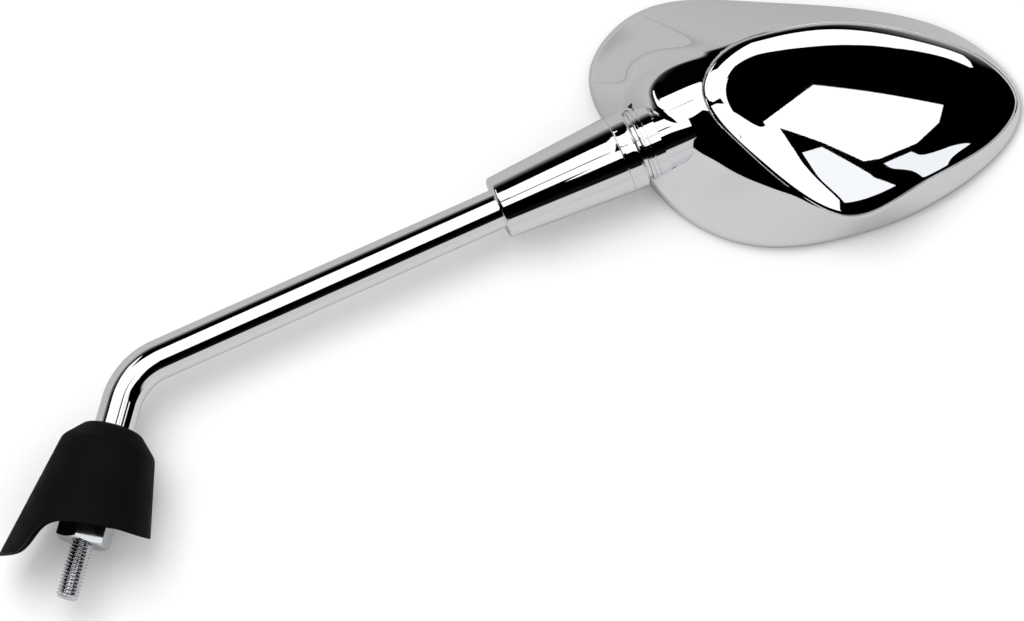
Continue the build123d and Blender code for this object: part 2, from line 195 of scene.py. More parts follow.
def thread_tree():
    """Geometry nodes: a grid rolled round the axis, its radius waving along a helix."""
    tree = bpy.data.node_groups.new("rolled_thread", "GeometryNodeTree")
    for name in ("Radius", "Depth", "Pitch", "Length", "Chamfer"):
        socket(tree, name, "NodeSocketFloat")
    socket(tree, "Finish", "NodeSocketMaterial")
    socket(tree, "Geometry", "NodeSocketGeometry", "OUTPUT")
    link = tree.links.new
    inputs = tree.nodes.new("NodeGroupInput")
    outputs = tree.nodes.new("NodeGroupOutput")

    def math_node(operation, first, second=None):
        """Output of one sum on numbers or sockets."""
        node = tree.nodes.new("ShaderNodeMath")
        node.operation = operation
        for index, value in enumerate((first, second)):
            if isinstance(value, (int, float)):
                node.inputs[index].default_value = value
            elif value is not None:
                link(value, node.inputs[index])
        return node.outputs[0]

    turns = math.ceil(STUD_LENGTH / THREAD_PITCH)
    grid = tree.nodes.new("GeometryNodeMeshGrid")
    grid.inputs["Size X"].default_value = 1.0
    grid.inputs["Size Y"].default_value = 1.0
    grid.inputs["Vertices X"].default_value = THREAD_AROUND + 1
    grid.inputs["Vertices Y"].default_value = turns * THREAD_ROWS
    position = tree.nodes.new("GeometryNodeInputPosition")
    split = tree.nodes.new("ShaderNodeSeparateXYZ")
    link(position.outputs[0], split.inputs[0])
    turn = math_node("ADD", split.outputs["X"], 0.5)
    angle = math_node("MULTIPLY", turn, 2 * math.pi)
    share = math_node("ADD", split.outputs["Y"], 0.5)
    down = math_node("MINIMUM", math_node("MULTIPLY", share, TIP_CLOSE), 1.0)
    drop = math_node("MULTIPLY", down, inputs.outputs["Length"])
    phase = math_node("SUBTRACT", math_node("DIVIDE", drop, inputs.outputs["Pitch"]), turn)
    saw = math_node("ABSOLUTE", math_node("SUBTRACT", math_node("FRACT", phase), 0.5))
    flank = math_node("MULTIPLY", math_node("SUBTRACT", saw, THREAD_CREST), THREAD_FLANK)
    depth = math_node("MULTIPLY", math_node("MINIMUM", math_node("MAXIMUM", flank, 0.0), 1.0),
                      inputs.outputs["Depth"])
    crest = math_node("SUBTRACT", inputs.outputs["Radius"], depth)
    left = math_node("SUBTRACT", inputs.outputs["Length"], drop)
    end = math_node("ADD", math_node("SUBTRACT", inputs.outputs["Radius"],
                                     inputs.outputs["Chamfer"]), left)
    closing = math_node("LESS_THAN", share, TIP_MIDDLE)
    radius = math_node("MULTIPLY", math_node("MINIMUM", crest, end), closing)
    place = tree.nodes.new("ShaderNodeCombineXYZ")
    link(math_node("MULTIPLY", radius, math_node("COSINE", angle)), place.inputs["X"])
    link(math_node("MULTIPLY", radius, math_node("SINE", angle)), place.inputs["Y"])
    link(math_node("MULTIPLY", drop, -1.0), place.inputs["Z"])
    rolled = tree.nodes.new("GeometryNodeSetPosition")
    merged = tree.nodes.new("GeometryNodeMergeByDistance")
    merged.inputs["Distance"].default_value = WELD
    realised = tree.nodes.new("GeometryNodeRealizeInstances")
    painted = tree.nodes.new("GeometryNodeSetMaterial")
    link(grid.outputs["Mesh"], rolled.inputs["Geometry"])
    link(place.outputs[0], rolled.inputs["Position"])
    link(rolled.outputs["Geometry"], merged.inputs["Geometry"])
    link(merged.outputs["Geometry"], realised.inputs["Geometry"])
    link(realised.outputs["Geometry"], painted.inputs["Geometry"])
    link(inputs.outputs["Finish"], painted.inputs["Material"])
    link(painted.outputs["Geometry"], outputs.inputs["Geometry"])
    return tree


def blank_host(name):
    """Empty mesh object for a tree that makes its own geometry."""
    host = bpy.data.objects.new(name, bpy.data.meshes.new(name))
    bpy.context.scene.collection.objects.link(host)
    return host


zinc = finish("bright_zinc", (0.72, 0.73, 0.76), metallic=1.0, patches=260, grain=2600,
              roughness=(0.05, 0.12), bump=0.05)
thread = grown("stud_thread", blank_host("stud_thread"), thread_tree(), {
    "Radius": STUD_RADIUS, "Depth": THREAD_DEPTH, "Pitch": THREAD_PITCH,
    "Length": STUD_LENGTH, "Chamfer": TIP_CHAMFER, "Finish": zinc})


def stud_mesh():
    """The CAD collar with its plain screw taken off, closed, and joined to the thread."""
    body = bmesh.new()
    body.from_mesh(frame["nodes"]["mounting_stud"].data)
    bmesh.ops.remove_doubles(body, verts=body.verts, dist=WELD)
    screw = [face for face in body.faces if face.calc_center_median().z < -0.01 * MM]
    bmesh.ops.delete(body, geom=screw, context="FACES")
    bmesh.ops.holes_fill(body, edges=body.edges, sides=0)
    body.from_mesh(thread)
    bmesh.ops.recalc_face_normals(body, faces=body.faces)
    mesh = bpy.data.meshes.new("threaded_stud")
    body.to_mesh(mesh)
    body.free()
    soften(mesh, STUD_CREASE)
    return mesh


add_piece("threaded_stud", stud_mesh(), zinc, "arm", slot_of["mounting_stud"], "mounting_stud")


# Stem tube: a steel tube with one bend, chrome plated, pressed over the collar's spigot and into
# the sleeve. It is one round section carried along the bent centre line.
BEND_RADIUS = 24.0 * MM
BEND_STEPS = 48
TUBE_END = 34.0 * MM
TUBE_AROUND = 128
swivel = next(joint for joint in frame["joints"] if joint["name"] == "head_swivel")
pivot = Vector(swivel["pos_m"])
arm_axis = Vector(swivel["axis"])
tube_low, tube_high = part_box("stem_tube")
tube_radius = (tube_high.y - tube_low.y) / 2

chrome = finish("plated_chrome", (0.86, 0.865, 0.88), metallic=1.0, patches=34, grain=1800,
                roughness=(0.004, 0.02), bump=0.005)


def tube_tree():
    """Geometry nodes: a bent centre line with its corner rounded and a round section on it."""
    tree = bpy.data.node_groups.new("bent_tube", "GeometryNodeTree")
    socket(tree, "Geometry", "NodeSocketGeometry")
    socket(tree, "Tube Radius", "NodeSocketFloat")
    socket(tree, "Bend Radius", "NodeSocketFloat")
    socket(tree, "Finish", "NodeSocketMaterial")
    socket(tree, "Geometry", "NodeSocketGeometry", "OUTPUT")
    link = tree.links.new
    inputs = tree.nodes.new("NodeGroupInput")
    outputs = tree.nodes.new("NodeGroupOutput")
    rounded = tree.nodes.new("GeometryNodeFilletCurve")
    rounded.mode = "POLY"
    rounded.inputs["Count"].default_value = BEND_STEPS
    section = tree.nodes.new("GeometryNodeCurvePrimitiveCircle")
    section.inputs["Resolution"].default_value = TUBE_AROUND
    swept = tree.nodes.new("GeometryNodeCurveToMesh")
    swept.inputs["Fill Caps"].default_value = True
    realised = tree.nodes.new("GeometryNodeRealizeInstances")
    painted = tree.nodes.new("GeometryNodeSetMaterial")
    link(inputs.outputs["Geometry"], rounded.inputs["Curve"])
    link(inputs.outputs["Bend Radius"], rounded.inputs["Radius"])
    link(inputs.outputs["Tube Radius"], section.inputs["Radius"])
    link(rounded.outputs["Curve"], swept.inputs["Curve"])
    link(section.outputs["Curve"], swept.inputs["Profile Curve"])
    link(swept.outputs["Mesh"], realised.inputs["Geometry"])
    link(realised.outputs["Geometry"], painted.inputs["Geometry"])
    link(inputs.outputs["Finish"], painted.inputs["Material"])
    link(painted.outputs["Geometry"], outputs.inputs["Geometry"])
    return tree


def centre_line():
    """Two straight runs from the collar to the end inside the sleeve."""
    corner = pivot - arm_axis * (pivot.x / arm_axis.x)
    stops = [Vector((0, 0, tube_low.z)), corner, pivot - arm_axis * TUBE_END]
    curve = bpy.data.curves.new("tube_line", "CURVE")
    curve.dimensions = "3D"
    line = curve.splines.new("POLY")
    line.points.add(len(stops) - 1)
    for point, stop in zip(line.points, stops):
        point.co = (*stop, 1)
    host = bpy.data.objects.new("tube_line", curve)
    bpy.context.scene.collection.objects.link(host)
    return host


tube = grown("chromed_tube", centre_line(), tube_tree(),
             {"Tube Radius": tube_radius, "Bend Radius": BEND_RADIUS, "Finish": chrome})
soften(tube)
add_piece("chromed_tube", tube, chrome, "arm", slot_of["stem_tube"], "stem_tube")


# Rubber boot: a bell moulded in black rubber with a long tongue on its inner side. It grips the
# tube by its thick top and hides the collar and the lock nut.
BOOT_ROUND = 0.5 * MM
ROUND_STEPS = 3
FLAT_ANGLE = math.radians(0.5)
SHARP_ANGLE = math.radians(35)
RUBBER_GLOSS = 0.08


def welded_copy(node, name, rounding):
    """The CAD node's own shape as one smooth-shaded skin, its sharp edges rounded a little."""
    body = bmesh.new()
    body.from_mesh(frame["nodes"][node].data)
    bmesh.ops.remove_doubles(body, verts=body.verts, dist=WELD)
    if rounding:
        bmesh.ops.dissolve_limit(body, angle_limit=FLAT_ANGLE, verts=body.verts, edges=body.edges)
        sharp = [edge for edge in body.edges if edge.calc_face_angle(0) > SHARP_ANGLE]
        bmesh.ops.bevel(body, geom=sharp, offset=rounding, segments=ROUND_STEPS, profile=0.5,
                        affect="EDGES", clamp_overlap=True)
    mesh = bpy.data.meshes.new(name)
    body.to_mesh(mesh)
    body.free()
    soften(mesh)
    return mesh


def dress(node, name, material, rounding=0.0):
    """A CAD node's own shape in its real finish, in place of the node."""
    add_piece(name, welded_copy(node, name, rounding), material,
              frame["nodes"][node]["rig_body"], slot_of[node], node)


rubber = finish("moulded_rubber", (0.0016, 0.0016, 0.0018), metallic=0.0, patches=90, grain=2200,
                roughness=(0.55, 0.75), bump=0.5)
rubber_shader = rubber.node_tree.nodes["Principled BSDF"]
rubber_shader.inputs["Specular IOR Level"].default_value = RUBBER_GLOSS
dress("rubber_boot", "moulded_boot", rubber, BOOT_ROUND)


# Tapered sleeve and its end ring: turned, polished and chrome plated. The sleeve covers the end of
# the tube; the ring is pressed in at its wide end and holds the cup of the ball joint.
SLEEVE_ROUND = 0.25 * MM

dress("taper_sleeve", "chromed_sleeve", chrome, SLEEVE_ROUND)
dress("sleeve_ring", "chromed_sleeve_ring", chrome, SLEEVE_ROUND)


# Ball joint: a turned steel ball on a threaded neck, two plastic seats, a cup, a coned spring and
# a plug. They hold the head where it is set, and are all but hidden by the neck ring.
joint_steel = finish("turned_steel", (0.50, 0.50, 0.52), metallic=1.0, patches=300, grain=2400,
                     roughness=(0.2, 0.36), bump=0.2)
seat_plastic = finish("slippery_plastic", (0.62, 0.61, 0.57), metallic=0.0, patches=120, grain=1800,
                      roughness=(0.35, 0.5), bump=0.2)
dress("ball_stud", "steel_ball_stud", joint_steel)
dress("front_seat", "plastic_front_seat", seat_plastic)
dress("rear_seat", "plastic_rear_seat", seat_plastic)
dress("pressure_cup", "steel_cup", joint_steel)
dress("disc_spring", "steel_disc_spring", joint_steel)
dress("socket_plug", "steel_plug", joint_steel)
dress("neck_ring", "chromed_neck_ring", chrome)


# Neck collar: a short turned sleeve with two grooves, chrome plated like the housing. It is pressed
# into the mouth of the housing's neck, round the neck ring, and moves with the head.
BORE_RADIUS = 11.75
COLLAR_RADIUS = 12.75
COLLAR_START = -2.6
COLLAR_DEPTH = 4.4
COLLAR_CHAMFER = 0.3
COLLAR_CREASE = math.radians(50)
COLLAR_GROOVES = (-1.4, 0.3)
GROOVE_WIDTH = 0.35
GROOVE_DEPTH = 0.45
GROOVE_FLOOR = 0.4
TURNED_AROUND = 128

out_of_back = Vector((0, -1, 0))
across_arm = out_of_back.cross(arm_axis)


def turned_mesh(name, profile):
    """Closed body of revolution about Z from (radius, height) points, in mm."""
    body = bmesh.new()
    corners = [body.verts.new((radius * MM, 0, height * MM)) for radius, height in profile]
    for start, end in zip(corners, corners[1:]):
        body.edges.new((start, end))
    bmesh.ops.spin(body, geom=body.verts[:] + body.edges[:], cent=(0, 0, 0), axis=(0, 0, 1),
                   angle=2 * math.pi, steps=TURNED_AROUND)
    bmesh.ops.remove_doubles(body, verts=body.verts, dist=WELD)
    bmesh.ops.recalc_face_normals(body, faces=body.faces)
    mesh = bpy.data.meshes.new(name)
    body.to_mesh(mesh)
    body.free()
    return mesh


def on_neck(mesh):
    """Stands a mesh turned about Z on the pivot, along the neck."""
    turn = Matrix((across_arm, out_of_back, arm_axis)).transposed().to_4x4()
    turn.translation = pivot
    mesh.transform(turn)
    return mesh


def collar_mesh():
    """Ring round the bore, with its outer edge broken and its grooves turned in."""
    profile = [(BORE_RADIUS, COLLAR_START), (COLLAR_RADIUS - COLLAR_CHAMFER, COLLAR_START),
               (COLLAR_RADIUS, COLLAR_START + COLLAR_CHAMFER)]
    for middle in COLLAR_GROOVES:
        for offset, depth in ((-1, 0), (-GROOVE_FLOOR, 1), (GROOVE_FLOOR, 1), (1, 0)):
            profile.append((COLLAR_RADIUS - depth * GROOVE_DEPTH, middle + offset * GROOVE_WIDTH))
    profile += [(COLLAR_RADIUS, COLLAR_DEPTH), (BORE_RADIUS, COLLAR_DEPTH), profile[0]]
    mesh = on_neck(turned_mesh("neck_collar", profile))
    soften(mesh, COLLAR_CREASE)
    return mesh


add_piece("neck_collar", collar_mesh(), chrome, "head", slot_of["neck_ring"])


# Housing: a thin moulded shell, chrome plated all over. A narrow upright lip runs round the glass,
# plain walls rise from it to a crowned oval lid, and a round neck comes out at the lower corner.
# All outlines are in the housing's own plane: x along it, y across, z out of its back, in mm.
LIP_OUTLINE = [(-19.6, 27.1), (-7.2, 46.4), (35.9, 53), (87.4, 48.3), (115.4, 37), (129.7, 18.4),
               (108.3, -12.1), (70.4, -29.4), (35.9, -32.3), (11.7, -21.6), (-7.6, 1.1)]
LID_OUTLINE = [(19.7, 17.2), (26.2, 29.9), (42.8, 37.8), (63.4, 41.8), (98.2, 38.8), (122.6, 27.9),
               (128.4, 19.1), (122.1, 5.6), (94.5, -13.9), (70.4, -25.9), (53.1, -19.2), (32.4, -2.2)]
MIDDLE = (58.4, 11.1)
LIP_ROUND = 0.8
LIP_WALL = 2.5
LIP_TRIM = 0.05
WALL_FOOT = 1.6
LID_CROWN = (68.4, 9.1, 27.0)
LID_SLOPE = math.radians(13.2)
LID_RADIUS = 300.0
EDGE_ROLL = 10.0
RIM_ROLL = 1.3
RIM_SLOPE = 0.4
CREST_MARGIN = 0.6
BROW_REACH = 1.5
# Ledge between the walls and the lid: at each bearing its width, its drop below the lid's edge, its
# outer rounding, the slope of the lid's own rolled edge, and the height of the lip below it
LEDGE = [(0, 0.9, 0.8, 0.5, 0.32, 2.0), (20, 0.9, 0.8, 0.5, 0.34, 3.4), (40, 0.9, 0.8, 0.5, 0.40, 5),
         (100, 0.9, 0.8, 0.5, 0.46, 5), (149, 1.5, 0.9, 1.0, 0.45, 5), (158, 7.5, 3.5, 3.0, 0.40, 5),
         (162, 13, 5.0, 4.0, 0.40, 5), (171, 21, 7.0, 5.0, 0.38, 5), (185, 17, 6.0, 4.0, 0.32, 5),
         (199, 12.4, 4.2, 2.5, 0.15, 5), (207, 9.4, 3.6, 1.5, 0.08, 5), (235, 4.5, 2.0, 1.0, 0.06, 5),
         (258, 1.2, 0.8, 0.5, 0.06, 5), (275, 0.9, 0.8, 0.5, 0.05, 5), (330, 0.9, 0.8, 0.5, 0.06, 5),
         (345, 0.9, 0.8, 0.5, 0.20, 3.0)]
LEDGE_EASE = math.radians(3.5)
STEP_DROP = 0.7
STEP_WIDTH = 0.25
STEP_ROUND = 0.3
STEP_NARROW, STEP_FULL = 1, 3
NECK_ANGLE = math.radians(24.5)
NECK_HEIGHT = 20.8
# Hump over the neck: a soft ridge beside the neck's axis. Its sides start at a slope and curve down
HUMP_HEIGHT = 12.6
HUMP_OFFSET = 5.6
HUMP_SLOPES = (0.07, 0.14)
HUMP_RADII = (30.0, 27.0)
HUMP_SOFT = 0.8
HUMP_END = 26.0
HUMP_FALL = 0.05
HUMP_ROLL = 0.12
HUMP_ROLL_START = 3.0
HUMP_BLEND = 3.0
HUMP_GAP = 0.4
# How finely the shell is drawn: bearings round it, and rows of points over each stretch
BEARINGS = 480
INNER_STEP = 5
FLAT_ROWS, LIP_ROWS, WALL_ROWS, LEDGE_ROWS, LID_ROWS = 2, 3, 28, 26, 60
TOE_ROWS, KNEE_ROWS, RIDGE_ROWS, NOOK_ROWS, BEAD_ROWS = 5, 8, 16, 5, 7
LID_GRADING = 1.6
SHELL_CREASE = math.radians(40)

along_head = arm_axis * math.cos(NECK_ANGLE) - across_arm * math.sin(NECK_ANGLE)
across_head = out_of_back.cross(along_head)
head_frame = Matrix((along_head, across_head, out_of_back)).transposed().to_4x4()
head_frame.translation = pivot - out_of_back * NECK_HEIGHT * MM


def smooth_loop(points, samples=2400):
    """Closed cubic curve through the points, as many samples along its chords."""
    stops = np.array(points, float)
    count = len(stops)
    ahead = np.roll(stops, -1, 0)
    span = np.linalg.norm(ahead - stops, axis=1)
    system = np.zeros((count, count))
    load = np.zeros_like(stops)
    for k in range(count):
        before, after = span[k - 1], span[k]
        system[k, k - 1] += before
        system[k, k] += 2 * (before + after)
        system[k, (k + 1) % count] += after
        load[k] = 6 * ((ahead[k] - stops[k]) / after - (stops[k] - stops[k - 1]) / before)
    bend = np.linalg.solve(system, load)
    ends = np.concatenate([[0], np.cumsum(span)])
    run = np.linspace(0, ends[-1], samples, endpoint=False)
    leg = np.clip(np.searchsorted(ends, run, side="right") - 1, 0, count - 1)
    length = span[leg]
    late = ((run - ends[leg]) / length)[:, None]
    early = 1 - late
    curl = (early ** 3 - early) * bend[leg] + (late ** 3 - late) * np.roll(bend, -1, 0)[leg]
    return early * stops[leg] + late * ahead[leg] + curl * (length ** 2)[:, None] / 6


def reach(points, bearings):
    """Distance from the middle of the housing to an outline at each bearing."""
    ray = smooth_loop(points) - np.array(MIDDLE)
    angle = np.mod(np.arctan2(ray[:, 1], ray[:, 0]), 2 * np.pi)
    order = np.argsort(angle)
    return np.interp(bearings, angle[order], np.hypot(*ray.T)[order], period=2 * np.pi)


def eased(values, bearings):
    """The ledge's table as smooth rounds: values between its bearings, blurred along the angle."""
    table = np.array(LEDGE)
    row = np.interp(bearings, np.radians(table[:, 0]), values, period=2 * np.pi)
    gap = np.mod(bearings + np.pi, 2 * np.pi) - np.pi
    weight = np.exp(-0.5 * (gap / LEDGE_EASE) ** 2)
    return np.real(np.fft.ifft(np.fft.fft(row) * np.fft.fft(weight / weight.sum())))


def lid_height(x, y):
    """Height of the lid's tilted crown, which is part of a large ball."""
    lean = np.array((math.sin(LID_SLOPE), 0, math.cos(LID_SLOPE)))
    centre = np.array(LID_CROWN) - lean * LID_RADIUS
    return centre[2] + np.sqrt(LID_RADIUS ** 2 - (x - centre[0]) ** 2 - (y - centre[1]) ** 2)


def line(start, end, rows):
    """Rows of points from start towards end, without the end itself."""
    share = np.linspace(0, 1, rows, endpoint=False)[:, None, None]
    return start + (end - start) * share


def rounded(corner, before, after, size, rows):
    """Rows of points round a corner, and the two points where the rounding starts and ends."""
    inward = before - corner
    onward = after - corner
    start = corner + inward * np.minimum(size / np.linalg.norm(inward, axis=-1), 0.5)[:, None]
    end = corner + onward * np.minimum(size / np.linalg.norm(onward, axis=-1), 0.5)[:, None]
    share = np.linspace(0, 1, rows, endpoint=False)[:, None, None]
    curve = start * (1 - share) ** 2 + corner * 2 * share * (1 - share) + end * share ** 2
    return curve, start, end


def outer_rows():
    """Rows of (distance, height) at every bearing, from the lip's foot to the lid's middle."""
    bearings = np.linspace(0, 2 * np.pi, BEARINGS, endpoint=False)
    table = np.array(LEDGE)
    width, drop, soft, slope, rise = (eased(table[:, k], bearings) for k in range(1, 6))
    lip, lid = reach(LIP_OUTLINE, bearings) - LIP_TRIM, reach(LID_OUTLINE, bearings)
    heading = np.stack([np.cos(bearings), np.sin(bearings)], -1)

    def top(distance):
        """Height of the lid with its rolled edge, at a distance on every bearing."""
        place = np.array(MIDDLE) + distance[..., None] * heading
        roll = np.maximum(EDGE_ROLL - (lid - distance), 0)
        rim = np.maximum(RIM_ROLL - (lid - distance), 0)
        return (lid_height(place[..., 0], place[..., 1]) - slope * roll ** 2 / (2 * EDGE_ROLL)
                - RIM_SLOPE * rim ** 2 / (2 * RIM_ROLL))

    def stop(distance, height):
        """A point of the section on every bearing."""
        return np.stack([distance, np.broadcast_to(height, distance.shape)], -1)

    edge = top(lid)
    inside, foot = stop(lip - LIP_ROUND, 0.0), stop(lip, 0.0)
    shoulder = stop(lip, rise)
    full_step = np.clip((width - STEP_NARROW) / (STEP_FULL - STEP_NARROW), 0, 1)
    crest = stop(np.minimum(lid + width, lip - CREST_MARGIN), edge - drop)
    heel = stop(lid + STEP_WIDTH, edge - STEP_DROP * full_step)
    brow = stop(lid, edge)
    inner = stop(lid - BROW_REACH, top(lid - BROW_REACH))
    even = np.ones(BEARINGS)
    toe, toe_start, toe_end = rounded(foot, inside, shoulder, LIP_ROUND * even, TOE_ROWS)
    knee, knee_start, knee_end = rounded(shoulder, foot, crest, WALL_FOOT * even, KNEE_ROWS)
    ridge, ridge_start, ridge_end = rounded(crest, shoulder, heel, soft, RIDGE_ROWS)
    nook, nook_start, nook_end = rounded(heel, crest, brow, STEP_ROUND * even, NOOK_ROWS)
    bead, bead_start, bead_end = rounded(brow, heel, inner, STEP_ROUND * even, BEAD_ROWS)
    rows = [line(inside, toe_start, FLAT_ROWS), toe,
            line(toe_end, knee_start, LIP_ROWS), knee,
            line(knee_end, ridge_start, WALL_ROWS), ridge,
            line(ridge_end, nook_start, LEDGE_ROWS), nook,
            line(nook_end, bead_start, FLAT_ROWS), bead]
    share = 1 - np.linspace(0, 1, LID_ROWS)[:-1, None] ** LID_GRADING
    distance = bead_end[:, 0] * share
    rows.append(np.stack([distance, top(distance)], -1))
    return np.concatenate(rows), heading, lip, lid, crest[:, 0], rise


def with_hump(x, y, z, beyond):
    """Raises the hump over the neck, which rolls off outside the ledge, and blends it in."""
    along = x * math.cos(NECK_ANGLE) + y * math.sin(NECK_ANGLE)
    off = y * math.cos(NECK_ANGLE) - x * math.sin(NECK_ANGLE) - HUMP_OFFSET
    slope, radius = (np.where(off > 0, far, near) for near, far in (HUMP_SLOPES, HUMP_RADII))
    arch = slope * (HUMP_SOFT - np.hypot(off, HUMP_SOFT)) - off ** 2 / (2 * radius)
    hump = (NECK_HEIGHT + HUMP_HEIGHT + arch - HUMP_FALL * np.maximum(along - HUMP_END, 0) ** 2
            - HUMP_ROLL * np.maximum(beyond + HUMP_ROLL_START, 0) ** 2)
    near = np.maximum(HUMP_BLEND - np.abs(z - hump), 0) / HUMP_BLEND
    return np.maximum(z, hump) + near ** 2 * HUMP_BLEND / 4


def shell_mesh():
    """Closed thin shell: the outer rows, their shrunken copy inside, and the lip's flat between."""
    rows, heading, lip, lid, crest, rise = outer_rows()
    x = MIDDLE[0] + rows[..., 0] * heading[:, 0]
    y = MIDDLE[1] + rows[..., 0] * heading[:, 1]
    raised = with_hump(x, y, rows[..., 1], rows[..., 0] - crest)
    outside = (rows[..., 1] > rise) & (rows[..., 0] > lid + HUMP_GAP)
    z = np.where(outside, raised, rows[..., 1])
    outer = np.stack([x, y, z], -1)
    sunk = np.clip(z / (4 * LIP_WALL), 0, 1)
    inset = rows[..., 0] * (1 - LIP_WALL / lip)
    inner = np.stack([MIDDLE[0] + inset * heading[:, 0], MIDDLE[1] + inset * heading[:, 1],
                      z - LIP_WALL * sunk * sunk * (3 - 2 * sunk)], -1)[::INNER_STEP]
    height = lid_height(*MIDDLE)
    poles = [np.append(MIDDLE, height), np.append(MIDDLE, height - LIP_WALL)]
    points = np.concatenate([outer.reshape(-1, 3), inner.reshape(-1, 3), poles])
    first_inner, outer_pole = outer.size // 3, len(points) - 2
    here = np.arange(BEARINGS)
    ahead = np.roll(here, -1)
    steps = list(zip(here.tolist(), ahead.tolist()))
    faces = []

    def band(low, high):
        """Faces between two rows, given by their first points."""
        faces.extend(np.stack([low + here, low + ahead, high + ahead, high + here], -1).tolist())

    for row in range(len(outer) - 1):
        band(row * BEARINGS, (row + 1) * BEARINGS)
    for row in range(len(inner) - 1):
        band(first_inner + (row + 1) * BEARINGS, first_inner + row * BEARINGS)
    band(first_inner, 0)
    last_outer = (len(outer) - 1) * BEARINGS
    last_inner = first_inner + (len(inner) - 1) * BEARINGS
    faces.extend([last_outer + k, last_outer + n, outer_pole] for k, n in steps)
    faces.extend([last_inner + n, last_inner + k, outer_pole + 1] for k, n in steps)
    mesh = bpy.data.meshes.new("chromed_shell")
    mesh.from_pydata((points * MM).tolist(), [], faces)
    mesh.transform(head_frame)
    return mesh


# The neck's opening: a bore for the neck ring, and a flare outside it that clears the sleeve
BORE_DEPTH = 16.1
NECK_FACE = 1.4
FLARE_MOUTH = 14.7
FLARE_REACH = 28.0
FLARE_SPREAD = math.tan(math.radians(15))


def neck_tool():
    """The space that the neck ring and the swinging sleeve take out of the shell."""
    wide = FLARE_MOUTH + FLARE_REACH * FLARE_SPREAD
    mesh = turned_mesh("neck_tool", [
        (0, BORE_DEPTH), (BORE_RADIUS, BORE_DEPTH), (BORE_RADIUS, COLLAR_DEPTH),
        (COLLAR_RADIUS, COLLAR_DEPTH), (COLLAR_RADIUS, NECK_FACE), (FLARE_MOUTH, NECK_FACE),
        (wide, NECK_FACE - FLARE_REACH), (0, NECK_FACE - FLARE_REACH)])
    tool = bpy.data.objects.new("neck_tool", on_neck(mesh))
    bpy.context.scene.collection.objects.link(tool)
    return tool


def cut(mesh, tool):
    """The mesh less a tool, which then goes."""
    host = bpy.data.objects.new("cut_host", mesh)
    bpy.context.scene.collection.objects.link(host)
    saw = host.modifiers.new("neck", "BOOLEAN")
    saw.operation = "DIFFERENCE"
    saw.solver = "EXACT"
    saw.object = tool
    bpy.context.view_layer.update()
    graph = bpy.context.evaluated_depsgraph_get()
    result = bpy.data.meshes.new_from_object(host.evaluated_get(graph))
    bpy.data.objects.remove(host)
    bpy.data.objects.remove(tool)
    return result


shell = cut(shell_mesh(), neck_tool())
soften(shell, SHELL_CREASE)
add_piece("chromed_shell", shell, chrome, "head", slot_of["mirror_shell"], "mirror_shell")


# Mirror glass and what holds it: convex silvered glass in a rubber channel, stuck by a foam pad to
# a plastic plate that four countersunk screws hold on posts inside the housing.
silvered = finish("silvered_glass", (0.88, 0.90, 0.905), metallic=1.0, patches=22, grain=900,
                  roughness=(0.004, 0.02), bump=0.0)
channel_rubber = finish("channel_rubber", (0.02, 0.02, 0.021), metallic=0.0, patches=140, grain=2600,
                        roughness=(0.42, 0.6), bump=0.35)
foam = finish("closed_foam", (0.07, 0.07, 0.075), metallic=0.0, patches=200, grain=1500,
              roughness=(0.75, 0.95), bump=0.8)
plate_plastic = finish("moulded_plate", (0.045, 0.045, 0.05), metallic=0.0, patches=80, grain=1900,
                       roughness=(0.4, 0.6), bump=0.4)
screw_steel = finish("dull_zinc", (0.42, 0.42, 0.44), metallic=1.0, patches=400, grain=2600,
                     roughness=(0.3, 0.45), bump=0.25)
dress("mirror_glass", "convex_glass", silvered)
dress("rim_gasket", "rubber_channel", channel_rubber)
dress("adhesive_pad", "foam_pad", foam)
dress("backing_plate", "plastic_plate", plate_plastic)
for number in range(1, 5):
    dress(f"plate_screw_{number}", f"plate_screw_piece_{number}", screw_steel)


# Studio: a white table that the mirror lies on, glass down, a soft lamp from the upper left and a
# few cards overhead that only the chrome sees.
VIEW_RIGHT = Vector((0.9648, 0.0, 0.2632))
VIEW_UP = Vector((-0.2592, -0.1736, 0.9501))
VIEW_FORWARD = Vector((-0.0457, 0.9848, 0.1675))
LOOK_AT = Vector((121.3, 0.0, 117.5)) * MM
FRAME_WIDTH = 353 * MM
LENS = 900.0
SENSOR = 36.0
CLIP_END = 50
TABLE_GAP = 0.2 * MM
TABLE_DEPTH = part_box("rubber_boot")[1].y + TABLE_GAP
TABLE_SIZE = 3.0
TABLE_WHITE = 0.62
TABLE_LIFT = 0.02
# The table as the chrome mirrors it, with painted shade: shares of its brightness, at two places
# across the arm, darker on the far side
TABLE_MIRRORED = (0.62, 0.48)
TABLE_FADE = (20 * MM, 75 * MM)


def plane_mesh(name, corners):
    """One flat face through the corners."""
    mesh = bpy.data.meshes.new(name)
    mesh.from_pydata([tuple(corner) for corner in corners], [], [list(range(len(corners)))])
    return mesh


def stage_piece(name, mesh, material):
    """Something of the studio, which isn't part of the mirror."""
    piece = bpy.data.objects.new(name, mesh)
    bpy.context.scene.collection.objects.link(piece)
    mesh.materials.append(material)
    return piece


